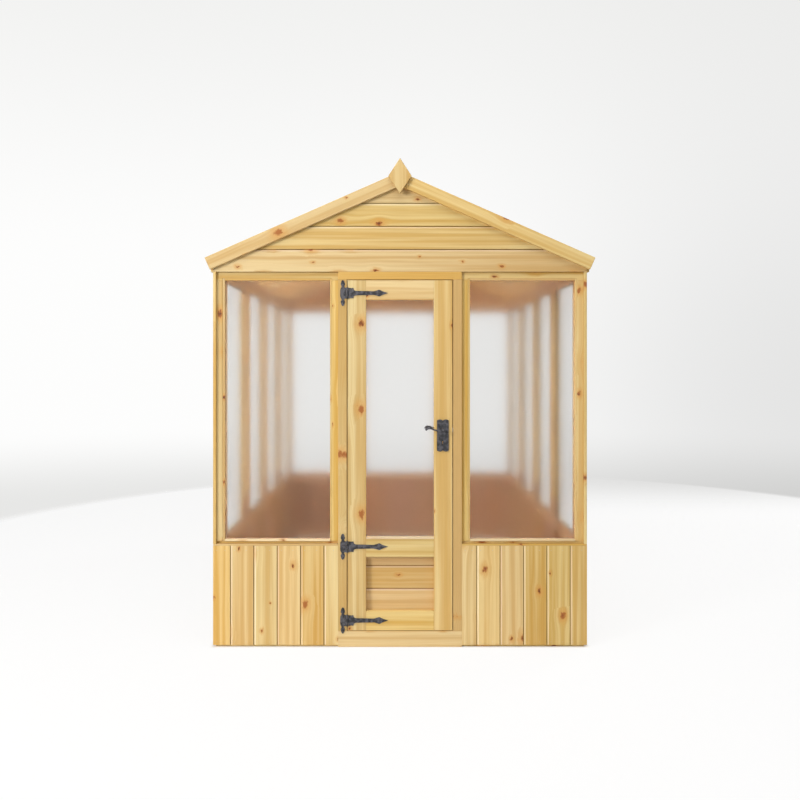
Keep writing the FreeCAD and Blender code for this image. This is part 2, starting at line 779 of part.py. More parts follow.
def back_plate(name, side):
    """A plate with two bows at each end; side is -1 outside the door and 1 inside."""
    wide = s.back_plate_wide / 2
    up = s.back_plate_tall * 0.465
    bow = -0.39
    centre = -26
    corners = [(-wide, up, bow), (0, up, bow), (wide, up), (wide, -up, bow), (0, -up, bow), (-wide, -up)]
    face = front if side < 0 else front + s.door_thick + s.back_plate_thick
    plate = body(name, lever_x, face, lever_z + centre)
    pad(plate, outline(plate, "XZ_Plane", corners), s.back_plate_thick)
    pocket(plate, circle(plate, "XZ_Plane", 0, -centre, s.hub_radius + 2.2))
    key = key_z - lever_z - centre
    pocket(plate, outline(plate, "XZ_Plane", [
        (-2, key - 7), (2, key - 7), (2, key + 3), (3.4, key + 5, 0.8), (-3.4, key + 5), (-2, key + 3)]))
    return plate


node("back_plates", back_plate("outer_plate", -1), back_plate("inner_plate", 1))

lever_upper = [(0, 7.5), (-8, 6.2), (-18, 2.6), (-28, 2.6), (-38, 5.4), (-48, 9.6), (-56, 13.6), (-64, 16),
               (-72, 16.4), (-79, 14.6), (-84, 10.8), (-86, 6)]
lever_lower = [(-85, 2), (-81.6, 0), (-77.6, 0.6), (-75.6, 3.4), (-72, 5.6), (-65, 6.6), (-58, 6), (-50, 2.6),
               (-40, -1), (-29, -3.6), (-17, -4.6), (-8, -6.6)]


def lever(name, side):
    """A scrolled arm on a round boss with a square socket; side is -1 outside the door and 1 inside."""
    reach = s.lever_reach / 86
    corners = [(reach * x, reach * z) for x, z in lever_upper + lever_lower]
    gap = s.back_plate_thick + 0.3
    if side < 0:
        door_face = front
        face = door_face - lever_face + 1
        root = door_face - gap
        boss_length = s.lever_standoff - 0.3
    else:
        door_face = front + s.door_thick
        face = door_face + lever_face + s.lever_thick
        root = door_face + lever_face - 1
        boss_length = root - door_face - gap
    arm = body(name, lever_x, face, lever_z)
    pad(arm, outline(arm, "XZ_Plane", corners), s.lever_thick + 1)
    boss = circle(arm, "XZ_Plane", 0, 0, s.hub_radius + 1.4)
    bind(boss, ".AttachmentOffset.Base.z", face - root)
    pad(arm, boss, boss_length)
    half = half_side + 0.05
    socket = outline(arm, "XZ_Plane", [(-half, -half), (half, -half), (half, half), (-half, half)])
    bind(socket, ".AttachmentOffset.Base.z", face - door_face)
    pocket(arm, socket, (lever_face + 0.1) * 2)
    return arm


node("levers", lever("outer_arm", -1), lever("inner_arm", 1))

# gables and roof, measured from the top line of the bargeboards
pitch = s.roof_angle
rise = sine(pitch)
run = cosine(pitch)
slant = rise / run
build = s.cap_thick + s.roof_pane
apex = s.plate_height + s.eaves_lift + half_width * slant
ridge_half = s.rafter_width / 2


def on_roof(down, out):
    """X and Z of a point so far down the slope and so far out from the top line."""
    down = dim(down)
    out = dim(out)
    return down * run + out * rise, apex - down * rise + out * run


def line_at(x, out):
    return apex + dim(out) / run - dim(x) * slant


def mirrored(side, corners):
    return corners if side == "right" else [(-dim(x), z) for x, z in corners]


def roof_timber(side, name, down, y, out):
    """A squared piece laid on one slope."""
    box = doc.addObject("Part::Box", f"{side}_{name}")
    for prop, (low, high) in zip(("Length", "Width", "Height"), (down, y, out)):
        bind(box, prop, dim(high) - low)
    lean = 1 if side == "right" else -1
    box.Placement.Rotation = FreeCAD.Rotation(FreeCAD.Vector(0, lean, 0), pitch.value)
    bind(box, ".Placement.Rotation.Angle", pitch)
    x, z = on_roof(down[0] if lean > 0 else down[1], out[0])
    return place(box, x * lean, y[0], z)


def slope_rod(name, radius, down, y, out):
    """A round bar that runs down the right slope."""
    bar = doc.addObject("Part::Cylinder", name)
    bind(bar, "Radius", radius)
    bind(bar, "Height", dim(down[1]) - down[0])
    bar.Placement.Rotation = FreeCAD.Rotation(FreeCAD.Vector(0, 1, 0), 90 + pitch.value)
    bind(bar, ".Placement.Rotation.Angle", pitch + 90)
    x, z = on_roof(down[0], out)
    return place(bar, x, y, z)


rafter_low = -build - s.rafter_depth
barge_end = (half_width + s.eaves_overhang) / run
eaves_end = barge_end - 2
tail = eaves_end - s.eaves_thick
gable_eaves = line_at(half_width, -build)
gable_shape = [(-half_width, s.plate_height), (half_width, s.plate_height), (half_width, gable_eaves),
               (0, line_at(0, -build)), (-half_width, gable_eaves)]
gable_run = line_at(0, -build) - s.plate_height + s.gable_drop * 2
for wall, turn in (("front", LYING), ("back", FACING_BACK)):
    face = front if wall == "front" else half_depth
    end = -half_width if wall == "front" else half_width
    x, y = wall_span(wall, (0, 0), (0, s.board_thick))
    room = prism(f"{wall}_gable_room", gable_shape, y)
    rows = round_up(gable_run / s.gable_cover)
    slack = (rows * s.gable_cover - gable_run) / 2
    node(f"{wall}_gable_boards", boarding(
        f"{wall}_gable", s.gable_cover, gable_run, -slack, s.wall_width,
        lambda start: (end, face, s.plate_height - s.gable_drop + rows * s.gable_cover + start), turn, room))
ridge_top = line_at(ridge_half, -build)
gable_frames = []
for wall in ("front", "back"):
    tie_high = s.plate_height + s.tie_height
    tie_along = (wall_inner - half_width, half_width - wall_inner)
    gable_frames.append(wall_timber(wall, "tie_rail", tie_along, framing, (s.plate_height, tie_high)))
    gable_frames.append(wall_timber(wall, "king_strut", (-s.frame_width / 2, s.frame_width / 2),
                                    (s.board_thick, s.board_thick + s.rafter_width),
                                    (tie_high, ridge_top - s.ridge_depth)))
node("gable_frames", *gable_frames)
node("ridge_board", timber("ridge", (-ridge_half, ridge_half), (-skin_depth, skin_depth),
                           (ridge_top - s.ridge_depth, ridge_top)))

plate_shape = [(half_width - wall_inner, s.plate_height), (half_width, s.plate_height),
               (half_width, line_at(half_width, rafter_low)),
               (half_width - wall_inner, line_at(half_width - wall_inner, rafter_low))]
node("wall_plates", *[prism(f"{side}_plate", mirrored(side, plate_shape), (-skin_depth, skin_depth))
                      for side in ("left", "right")])
rafter_shape = [(ridge_half, ridge_top), on_roof(tail, -build), on_roof(tail, rafter_low),
                (ridge_half, line_at(ridge_half, rafter_low))]
rafter_step = (skin_depth * 2 - s.rafter_width) / s.side_windows
rafter_rows = {}
for side in ("left", "right"):
    row = body(f"{side}_rafter_row", 0, s.rafter_width - skin_depth, 0)
    first = pad(row, outline(row, "XZ_Plane", mirrored(side, rafter_shape)), s.rafter_width)
    repeat(row, first, "Y_Axis", rafter_step * s.side_windows, s.side_windows * 2 + 1)
    rafter_rows[side] = row
batten = s.corner_thick
batten_shape = [(half_width, s.plate_height), (half_width + batten, s.plate_height),
                (half_width + batten, line_at(half_width + batten, rafter_low)),
                (half_width, line_at(half_width, rafter_low))]
node("eaves_boards",
     *[roof_timber(side, "eaves_board", (tail, eaves_end), (-half_depth, half_depth), (rafter_low, -build))
       for side in ("left", "right")],
     *[prism(f"{side}_eaves_batten", mirrored(side, batten_shape), (-skin_depth, skin_depth))
       for side in ("left", "right")])

barge_shape = [(0, apex), on_roof(barge_end, 0), on_roof(barge_end, -s.barge_wide),
               (0, line_at(0, -s.barge_wide))]
barge_y = {"front": (front - s.barge_thick, front), "back": (half_depth, half_depth + s.barge_thick)}
node("bargeboards", *[prism(f"{wall}_{side}_barge", mirrored(side, barge_shape), y)
                      for wall, y in barge_y.items() for side in ("left", "right")])
finial_level = line_at(s.finial_half, 0)
finial_shape = [(0, apex - s.finial_below), (s.finial_half, finial_level), (0, apex + s.finial_above),
                (-s.finial_half, finial_level)]
node("finials",
     prism("front_finial", finial_shape, (front - s.barge_thick * 2, front - s.barge_thick)),
     prism("back_finial", finial_shape, (half_depth + s.barge_thick, half_depth + s.barge_thick * 2)))

# roof glazing, with a rafter at each joint and one under each pane's middle; the bay that carries the vent
# lies on the right slope, just behind the middle, and the rafter there stops at the vent's trimmers
centres = [rafter_step * index - skin_depth + s.rafter_width / 2 for index in range(bay_count + 1)]
vent_bay = bay_count // 2
glass_end = barge_end - 1
pane_out = (-build, -s.cap_thick)
vent_low = s.vent_head + s.vent_length
trimmer = s.rafter_width
head_trim = (s.vent_head - 4, s.vent_head - 4 + trimmer)
foot_trim = (vent_low - trimmer, vent_low + 20)
roof_panes = []
for side in ("left", "right"):
    for index in range(bay_count):
        low = -half_depth if index == 0 else centres[index] + 2
        high = half_depth if index == bay_count - 1 else centres[index + 1] - 2
        lengths = [(s.pane_ridge_gap, glass_end)]
        if side == "right" and index == vent_bay:
            lengths = [(s.pane_ridge_gap, s.vent_head - 2), (vent_low + 2, glass_end)]
        for step, length in enumerate(lengths):
            roof_panes.append(roof_timber(side, f"pane{index}_{step}", length, (low, high), pane_out))
node("roof_panes", *roof_panes)
caps = []
for side in ("left", "right"):
    for index, centre in enumerate(centres):
        y = (centre - s.cap_width / 2, centre + s.cap_width / 2)
        if index == 0:
            y = (-half_depth, centre + s.rafter_width / 2)
        if index == bay_count:
            y = (centre - s.rafter_width / 2, half_depth)
        caps.append(roof_timber(side, f"cap{index}", (s.ridge_cap_wide, glass_end), y, (-s.cap_thick, 0)))
node("glazing_caps", *caps)
cap_high = s.ridge_cap_thick - s.cap_thick
ridge_cap_shape = [(0, line_at(0, -s.cap_thick)), on_roof(s.ridge_cap_wide, -s.cap_thick),
                   on_roof(s.ridge_cap_wide, cap_high), (0, line_at(0, cap_high))]
node("ridge_caps", *[prism(f"{side}_ridge_cap", mirrored(side, ridge_cap_shape), (-half_depth, half_depth))
                     for side in ("left", "right")])

# roof vent
vent_y = (centres[vent_bay] + s.cap_width / 2 + 3, centres[vent_bay + 1] - s.cap_width / 2 - 3)
bay_y = (centres[vent_bay] + s.rafter_width / 2, centres[vent_bay + 1] - s.rafter_width / 2)
node("vent_trimmers",
     roof_timber("right", "head_trimmer", head_trim, bay_y, (rafter_low, -build)),
     roof_timber("right", "foot_trimmer", foot_trim, bay_y, (rafter_low, -build)))
well_y = (centres[vent_bay] + s.rafter_width, centres[vent_bay + 1] - s.rafter_width)
vent_well = roof_timber("right", "vent_well", (head_trim[0], foot_trim[1]), well_y, (rafter_low, -build))
node("rafters", rafter_rows["left"], cut("right_rafters", rafter_rows["right"], vent_well))
vent_out = (-build, s.vent_thick - build)
vent_hole = (s.vent_head + s.vent_member, vent_low - s.vent_member)
vent_side = (vent_y[0] + s.vent_member, vent_y[1] - s.vent_member)
vent_lap = s.panel_lap
vent_glass = ((vent_hole[0] - vent_lap, vent_hole[1] + vent_lap),
              (vent_side[0] - vent_lap, vent_side[1] + vent_lap), (vent_out[1] - s.roof_pane, vent_out[1]))
vent_rebate = roof_timber("right", "vent_rebate", *vent_glass)
vent_members = [
    roof_timber("right", "vent_top", (s.vent_head, vent_hole[0]), vent_y, vent_out),
    roof_timber("right", "vent_bottom", (vent_hole[1], vent_low), vent_y, vent_out),
    roof_timber("right", "vent_near", vent_hole, (vent_y[0], vent_side[0]), vent_out),
    roof_timber("right", "vent_far", vent_hole, (vent_side[1], vent_y[1]), vent_out),
]
node("vent_frame", *[cut(member.Name, member, vent_rebate) for member in vent_members])
node("vent_pane", roof_timber("right", "vent_pane", *vent_glass))

hinge_down = s.vent_head - 3
hinge_out = vent_out[1] + s.vent_hinge_radius
hinge_x, hinge_z = on_roof(hinge_down, hinge_out)
leaf_half = s.vent_leaf_wide / 2
leaf_out = (vent_out[1], vent_out[1] + s.vent_leaf_thick)
reach = s.vent_hinge_radius + 0.6
knuckle_down = (hinge_down - reach, hinge_down + reach)
knuckle_out = (leaf_out[0] - 2, hinge_out + reach)
knuckle_gap = 0.4


def vent_leaf(name, centre, down, other_half):
    """A loose-pin hinge leaf with a barrel on one half, cleared where the other leaf's barrel turns."""
    wide = (centre - leaf_half, centre + leaf_half)
    plate = roof_timber("right", f"{name}_plate", down, wide, leaf_out)
    barrel = rod(f"{name}_barrel", s.vent_hinge_radius, hinge_z, hinge_x, wide[0], s.vent_leaf_wide, "y")
    clear = roof_timber("right", f"{name}_gap", knuckle_down, other_half, knuckle_out)
    return cut(name, join(f"{name}_blank", plate, barrel), clear)


fixed_leaves = []
vent_leaves = []
for index, share in enumerate((0.2, 0.8)):
    centre = vent_y[0] + (vent_y[1] - vent_y[0]) * share
    past = leaf_half + 1
    fixed = vent_leaf(f"vent_fixed{index}", centre, (hinge_down - s.vent_leaf_long, hinge_down),
                      (centre, centre + past))
    pin = rod(f"vent_pin{index}", s.vent_pin_radius, hinge_z, hinge_x, centre - leaf_half / 2,
              leaf_half * 1.6, "y")
    fixed_leaves.append(join(f"vent_pinned{index}", fixed, pin))
    moving = vent_leaf(f"vent_moving{index}", centre, (hinge_down, hinge_down + s.vent_leaf_long),
                       (centre - past, centre + knuckle_gap))
    bore = rod(f"vent_bore{index}", s.vent_pin_radius + s.pin_clearance, hinge_z, hinge_x, centre - past,
               past * 2, "y")
    vent_leaves.append(cut(f"vent_bored{index}", moving, bore))
node("vent_fixed_leaves", *fixed_leaves)
node("vent_moving_leaves", *vent_leaves)

# casement stay: a holed bar on a stud under the vent's bottom rail, and its peg on the foot trimmer
stay_y = (vent_y[0] + vent_y[1]) / 2 + s.stay_length / 2
stay_out = vent_out[0] + 5
stay_face = vent_hole[1]
stay_wide = (stay_out - 6, stay_out + 6)
stud_down = (stay_face - 11, stay_face - 2)
node("vent_stay_bracket", join(
    "stay_bracket_whole",
    roof_timber("right", "stay_bracket", (stay_face - 3, stay_face), (stay_y - 16, stay_y + 16), stay_wide),
    slope_rod("stay_stud", s.pin_radius, stud_down, stay_y, stay_out)))
stay_down = (stay_face - 9, stay_face - 5)
stay = roof_timber("right", "stay_bar", stay_down, (stay_y - s.stay_length, stay_y + 7), stay_wide)
through = (stay_down[0] - 1, stay_down[1] + 1)
stay_holes = [slope_rod("stay_pivot_hole", s.pin_radius + s.pin_clearance, through, stay_y, stay_out)]
for index, share in enumerate((0.45, 0.85)):
    hole_y = stay_y - s.stay_length * share
    stay_holes.append(slope_rod(f"stay_hole{index}", s.pin_radius + 1, through, hole_y, stay_out))
node("vent_stay", cut("vent_stay", stay, *stay_holes))
peg_down = (stay_face - 9, foot_trim[0])
node("stay_peg", slope_rod("peg", s.pin_radius, peg_down, stay_y + 40, rafter_low + 14))

doc.recompute()
for item in doc.Objects:
    if "Invalid" in item.State or "Error" in item.State:
        raise SystemExit(f"{item.Label} did not compute: {item.State}")
for item in nodes:
    if item.Shape.isNull() or not item.Shape.isValid() or not item.Shape.Solids:
        raise SystemExit(f"{item.Label} has no valid solid")
os.makedirs("parts", exist_ok=True)
for item in nodes:
    item.Shape.exportStep(f"parts/{item.Label}.step")
print(len(nodes), "nodes,", sum(len(item.Shape.Solids) for item in nodes), "solids")
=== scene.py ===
import json
import math
import random

import bmesh
import bpy
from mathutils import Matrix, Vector


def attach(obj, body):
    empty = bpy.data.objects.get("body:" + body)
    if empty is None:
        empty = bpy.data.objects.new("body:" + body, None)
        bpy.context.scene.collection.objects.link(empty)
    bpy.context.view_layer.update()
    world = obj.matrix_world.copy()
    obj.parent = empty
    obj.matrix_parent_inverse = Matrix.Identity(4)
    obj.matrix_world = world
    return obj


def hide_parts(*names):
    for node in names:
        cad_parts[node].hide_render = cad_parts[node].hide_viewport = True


# Wooden greenhouse: planed pine, black iron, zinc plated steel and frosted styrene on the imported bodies.
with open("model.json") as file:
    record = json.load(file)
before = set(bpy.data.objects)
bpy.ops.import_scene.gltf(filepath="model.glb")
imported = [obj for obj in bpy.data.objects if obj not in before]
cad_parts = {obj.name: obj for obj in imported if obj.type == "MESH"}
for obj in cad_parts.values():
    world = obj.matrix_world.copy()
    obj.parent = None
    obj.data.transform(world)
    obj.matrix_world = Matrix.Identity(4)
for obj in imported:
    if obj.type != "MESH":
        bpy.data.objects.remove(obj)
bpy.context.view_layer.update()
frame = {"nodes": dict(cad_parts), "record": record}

MM = 0.001
record = frame["record"]
body_of = {node: body for body, nodes in record["behaviour"]["bodies"].items() for node in nodes}
slot_of = {part["node"]: part["material_slot"] for part in record["subparts"]}


class Value:
    """One output of a node; arithmetic on values adds Math nodes."""

    def __init__(self, tree, socket):
        self.tree = tree
        self.socket = socket

    def __add__(self, other):
        return self.tree.math("ADD", self, other)

    def __sub__(self, other):
        return self.tree.math("SUBTRACT", self, other)

    def __rsub__(self, other):
        return self.tree.math("SUBTRACT", other, self)

    def __mul__(self, other):
        return self.tree.math("MULTIPLY", self, other)

    def __truediv__(self, other):
        return self.tree.math("DIVIDE", self, other)

    def __lt__(self, other):
        return self.tree.math("LESS_THAN", self, other)

    __radd__ = __add__
    __rmul__ = __mul__


class Made:
    """A node that has been added; its outputs are read by name or number."""

    def __init__(self, tree, node):
        self.tree = tree
        self.node = node

    def __getitem__(self, name):
        return Value(self.tree, self.node.outputs[name])


class Tree:
    """A node tree of a finish, of the world or of a fixing."""

    def __init__(self, node_tree):
        self.node_tree = node_tree

    def add(self, kind, settings=None, sockets=None):
        """One node: its settings are set first, then the values or links of its sockets."""
        node = self.node_tree.nodes.new(kind)
        for name, value in (settings or {}).items():
            setattr(node, name, value)
        for name, value in (sockets or {}).items():
            self.feed(node.inputs[name], value)
        return Made(self, node)

    def feed(self, socket, value):
        if isinstance(value, Value):
            self.node_tree.links.new(value.socket, socket)
        elif socket.type == "RGBA" and len(value) == 3:
            socket.default_value = (*value, 1.0)
        else:
            socket.default_value = value

    def math(self, operation, *values):
        return self.add("ShaderNodeMath", {"operation": operation}, dict(enumerate(values)))["Value"]

    def split(self, vector):
        parts = self.add("ShaderNodeSeparateXYZ", {}, {"Vector": vector})
        return parts["X"], parts["Y"], parts["Z"]

    def combine(self, x, y, z):
        return self.add("ShaderNodeCombineXYZ", {}, {"X": x, "Y": y, "Z": z})["Vector"]

    def noise(self, vector, scale=1.0, detail=2.0):
        sockets = {"Vector": vector, "Scale": scale, "Detail": detail}
        return self.add("ShaderNodeTexNoise", {}, sockets)["Fac"]

    def step(self, value, low, high):
        """0 below low and 1 above high, smooth between."""
        return self.add("ShaderNodeMapRange", {"interpolation_type": "SMOOTHSTEP"},
                        {"Value": value, "From Min": low, "From Max": high})["Result"]

    def mix(self, factor, first, second):
        return self.add("ShaderNodeMix", {"data_type": "RGBA"}, {0: factor, 6: first, 7: second})[2]

    def bump(self, height, strength, distance):
        return self.add("ShaderNodeBump", {},
                        {"Strength": strength, "Distance": distance, "Height": height})["Normal"]


def new_finish(name):
    material = bpy.data.materials.new(name)
    material.use_nodes = True
    material.node_tree.nodes.clear()
    return material, Tree(material.node_tree)


def surface(tree, sockets):
    shader = tree.add("ShaderNodeBsdfPrincipled", {}, sockets)["BSDF"]
    tree.add("ShaderNodeOutputMaterial", {}, {"Surface": shader})


# pine: colours, among them painted light and painted shade, and how strongly each lies over the wood
PINE_LIGHT = (0.748, 0.568, 0.266)
PINE_HONEY = (0.61, 0.38, 0.12)
PINE_LATEWOOD = (0.56, 0.28, 0.07)
# painted shade on the backs of the boards
PINE_BACK_SHADE = (0.44, 0.19, 0.108)
# painted light on room-side timber at the height of the panes, then painted shade on it above and below
PINE_PAINTED_LIGHT = (0.80, 0.50, 0.215)
PINE_SHADED = (0.54, 0.258, 0.13)
KNOT_HALO = (0.62, 0.30, 0.065)
KNOT_RED = (0.34, 0.088, 0.016)
KNOT_DARK = (0.13, 0.036, 0.012)
LATEWOOD_SHARE = 0.26
# how strongly the painted shade on the backs of the boards lies over the wood
BACK_SHADE_SHARE = 0.85
# how strongly the painted light and shade lie over room-side timber
ROOM_LIGHT_SHADE_SHARE = 0.8
HALO_SHARE = 0.62
RED_SHARE = 0.85

# pine: what differs from board to board, and how much the painted shade in a joint's groove and the painted
# highlight on its bevel change the wood
HUE_MIDDLE = 0.502
HUE_SWING = 0.009
SATURATION_SWING = 0.16
VALUE_SWING = 0.14
FIBRE_SWING = 0.2
# painted shade at the bottom of a joint's groove
GROOVE_SHADE_DARKER = 0.66
GROOVE_SHADE_RICHER = 0.1
# painted highlight on a board's bevel
BEVEL_HIGHLIGHT_PALER = 0.12
BEVEL_HIGHLIGHT_GREYER = 0.25

# pine: factors that draw further random numbers from a board's own one
DRAW_HUE = 19.3
DRAW_SATURATION = 41.9
DRAW_VALUE = 63.1
DRAW_PITH = 77.7
DRAW_PITH_SIDE = 28.9
DRAW_PITH_DEPTH = 33.3
DRAW_PITH_LEAN = 57.1

# pine: waves per metre along and across the board, and how far a pattern moves from board to board
RAGGED_EDGES = (45, 70, 91)
SLOW_WAVES = (0.9, 5, 31)
FIBRES = (6, 420, 13)
FLECKS = (110, 150, 47)
COLOUR_BANDS = (0.7, 34, 17)
BANDS_BETWEEN_BOARDS = 40
BAND_EDGE = (0.36, 0.64)

# pine: knots, in cells per metre of board, and growth rings round a pith beside the board
KNOTS_ALONG = 5.5
KNOTS_ACROSS = 8.0
KNOT_SHARE = 0.42
KNOT_SHIFT = (23.7, 51.3)
KNOT_RAGGED = (0.18, 0.16)
KNOT_LEAST = 0.028
KNOT_SPREAD = 0.085
KNOT_FAR_OFF = 60
KNOT_EDGE = (0.6, 1.3)
KNOT_FLECKED = 0.9
HEART_EDGE = (0.2, 0.8)
HEART_FLECKED = 1.6
HEART_MOOD = (0.1, 0.7)
HALO_EDGE = (0.6, 3.6)
FLOW_FADE = -0.1
FLOW_PULL = 0.8
RING_WIDTH = 3.4 * MM
RING_WAVE = 0.02
LATE_RISE = (0.4, 0.93)
LATE_FALL = (0.93, 1.0)
PITH_NEAR = 0.045
PITH_FAR = 0.15
PITH_DEPTH = (0.01, 0.05)
PITH_LEAN = 0.01

# pine: grades of the groove attribute, which place painted shade in grooves and on board backs and a
# painted highlight on bevels, and the room behind the walls, in metres, whose timber gets painted light and
# shade
GROOVE_SHADE_GRADES = (0.55, 0.9)
BEVEL_START = (0.02, 0.1)
BEVEL_END = (0.45, 0.7)
BACK_FACE_GRADES = (-0.9, -0.3)
WALL_FACE = (0.9, 1.2)
WALL_SKIN = (0.022, 0.034)
ROOF_APEX = 2.284
ROOF_SLOPE = 0.44
ROOF_SKIN = (0.024, 0.036)
# heights between which room-side timber gets painted light instead of painted shade
WINDOW_FOOT = (0.58, 0.66)
WINDOW_HEAD = (1.66, 1.80)


def painted_room_masks(tree):
    """Masks for painted light and shade: 1 on timber that faces the room, and 1 on what stands at the
    height of the panes, which gets painted light instead of painted shade.
    """
    x, y, z = tree.split(tree.add("ShaderNodeTexCoord")["Object"])
    from_side = tree.math("ABSOLUTE", x)
    from_end = tree.math("ABSOLUTE", y)
    room_light_shade_mask = (tree.step(WALL_FACE[0] - from_side, *WALL_SKIN)
               * tree.step(WALL_FACE[1] - from_end, *WALL_SKIN)
               * tree.step(ROOF_APEX - from_side * ROOF_SLOPE - z, *ROOF_SKIN))
    return room_light_shade_mask, tree.step(z, *WINDOW_FOOT) - tree.step(z, *WINDOW_HEAD)


def pine_finish():
    """Planed pine: growth rings, fibres along the board, and knots that the rings flow round; with painted
    shade in grooves, on board backs and on room-side timber away from the panes, and painted light on
    bevels, low drip beads and room-side timber at pane height.
    """
    material, tree = new_finish("planed_pine")
    board = tree.add("ShaderNodeAttribute", {"attribute_name": "board"})["Fac"]
    groove = tree.add("ShaderNodeAttribute", {"attribute_name": "groove"})["Fac"]
    along, across, deep = tree.split(tree.add("ShaderNodeAttribute", {"attribute_name": "grain"})["Vector"])
    # painted shade at the bottom of a joint's groove
    groove_shade = tree.step(groove, *GROOVE_SHADE_GRADES)
    # painted highlight on the bevel beside a joint's groove, and on the low drip beads
    bevel = tree.step(groove, *BEVEL_START) - tree.step(groove, *BEVEL_END)
    # painted shade on the backs of the boards, which face the room
    board_back_shade = 1 - tree.step(groove, *BACK_FACE_GRADES)
    room_light_shade_mask, pane_light_band = painted_room_masks(tree)

    def draw(factor):
        """Another random number of the same board."""
        return tree.math("FRACT", board * factor)

    def streaks(pattern, width, detail=2.0):
        """Noise drawn out along the board."""
        stretch, fine, shift = pattern
        place = tree.combine(along * stretch + board * shift, width * fine, deep * fine)
        return tree.noise(place, detail=detail)

    ragged = streaks(RAGGED_EDGES, across, 3.0) - 0.5
    knot_x = (along + board * KNOT_SHIFT[0]) * KNOTS_ALONG + ragged * KNOT_RAGGED[0]
    knot_y = (across + board * KNOT_SHIFT[1]) * KNOTS_ACROSS + ragged * KNOT_RAGGED[1]
    cells = tree.add("ShaderNodeTexVoronoi", {"voronoi_dimensions": "2D"},
                     {"Vector": tree.combine(knot_x, knot_y, 0.0), "Scale": 1.0, "Randomness": 0.9})
    chance, size, mood = tree.split(cells["Color"])
    absent = 1 - (chance < KNOT_SHARE)
    reach = cells["Distance"] / (size * size * KNOT_SPREAD + KNOT_LEAST) + absent * KNOT_FAR_OFF
    _, knot_at, _ = tree.split(cells["Position"])
    pull = tree.math("EXPONENT", reach * reach * FLOW_FADE) * FLOW_PULL
    bent = across - (knot_y - knot_at) / KNOTS_ACROSS * pull

    slow = streaks(SLOW_WAVES, across) - 0.5
    pith = draw(DRAW_PITH) * (PITH_FAR - PITH_NEAR) + PITH_NEAR
    pith_side = 1 - (draw(DRAW_PITH_SIDE) < 0.5) * 2
    lean = (draw(DRAW_PITH_LEAN) - 0.5) * PITH_LEAN
    side = bent + pith * pith_side + slow * RING_WAVE
    depth = deep + draw(DRAW_PITH_DEPTH) * PITH_DEPTH[1] + PITH_DEPTH[0] + along * lean + slow * RING_WAVE
    ring = tree.math("FRACT", tree.math("SQRT", side * side + depth * depth) / RING_WIDTH)
    late = tree.step(ring, *LATE_RISE) * (1 - tree.step(ring, *LATE_FALL))

    fibre = streaks(FIBRES, bent, 3.0)
    stretch, fine, shift = COLOUR_BANDS
    bands = tree.noise(tree.combine(along * stretch + board * shift, bent * fine,
                                    board * BANDS_BETWEEN_BOARDS), detail=4.0)
    wood = tree.mix(tree.step(bands, *BAND_EDGE), PINE_HONEY, PINE_LIGHT)
    # painted light at the height of the panes and painted shade above and below, on timber that faces the
    # room
    room_light_and_shade = tree.mix(pane_light_band, PINE_SHADED, PINE_PAINTED_LIGHT)
    wood = tree.mix(room_light_shade_mask * ROOM_LIGHT_SHADE_SHARE, wood, room_light_and_shade)
    # painted shade on the backs of the boards
    wood = tree.mix(board_back_shade * BACK_SHADE_SHARE, wood, PINE_BACK_SHADE)
    wood = tree.mix(late * LATEWOOD_SHARE, wood, PINE_LATEWOOD)
    hue = (draw(DRAW_HUE) - 0.5) * HUE_SWING + HUE_MIDDLE
    saturation = (draw(DRAW_SATURATION) - 0.5) * SATURATION_SWING + 1.0
    value = (draw(DRAW_VALUE) - 0.5) * VALUE_SWING + (fibre - 0.5) * FIBRE_SWING + 1.0
    # the groove's painted shade darkens the wood and the bevel's painted highlight pales it
    wood = tree.add("ShaderNodeHueSaturation", {}, {
        "Hue": hue,
        "Saturation": saturation + groove_shade * GROOVE_SHADE_RICHER - bevel * BEVEL_HIGHLIGHT_GREYER,
        "Value": value - groove_shade * GROOVE_SHADE_DARKER + bevel * BEVEL_HIGHLIGHT_PALER,
        "Color": wood})["Color"]

    fleck = streaks(FLECKS, across) - 0.5
    knot = 1 - tree.step(reach + fleck * KNOT_FLECKED, *KNOT_EDGE)
    heart = (1 - tree.step(reach + fleck * HEART_FLECKED, *HEART_EDGE)) * tree.step(mood, *HEART_MOOD)
    halo = 1 - tree.step(reach, *HALO_EDGE)
    wood = tree.mix(halo * HALO_SHARE, wood, KNOT_HALO)
    wood = tree.mix(knot * RED_SHARE, wood, KNOT_RED)
    wood = tree.mix(heart, wood, KNOT_DARK)

    relief = fibre * 0.5 + late * 0.4 - knot * 0.5
    surface(tree, {"Base Color": wood, "Roughness": 0.5 + fibre * 0.12 - knot * 0.1,
                   "Normal": tree.bump(relief, strength=0.25, distance=0.6 * MM),
                   "Specular IOR Level": 0.35})
    return material


IRON_DARK = (0.024, 0.024, 0.028)
IRON_LIGHT = (0.10, 0.098, 0.112)
IRON_PATCHES = (0.38, 0.62)


def iron_finish():
    """Black antique iron: hammered, with a dry, slightly uneven sheen."""
    material, tree = new_finish("black_antique_iron")
    place = tree.add("ShaderNodeTexCoord")["Object"]
    patches = tree.noise(place, scale=60.0, detail=4.0)
    dents = tree.add("ShaderNodeTexVoronoi", {"feature": "SMOOTH_F1"}, {"Vector": place, "Scale": 130.0})
    grit = tree.noise(place, scale=900.0)
    colour = tree.mix(tree.step(patches, *IRON_PATCHES), IRON_DARK, IRON_LIGHT)
    relief = dents["Distance"] * 0.9 + grit * 0.12
    surface(tree, {"Base Color": colour, "Metallic": 0.25, "Roughness": patches * 0.2 + 0.44,
                   "Normal": tree.bump(relief, strength=0.8, distance=1.6 * MM)})
    return material


ZINC_DULL = (0.46, 0.47, 0.48)
ZINC_BRIGHT = (0.66, 0.66, 0.65)
BRUSH_FINE = 900
BRUSH_LONG = 60


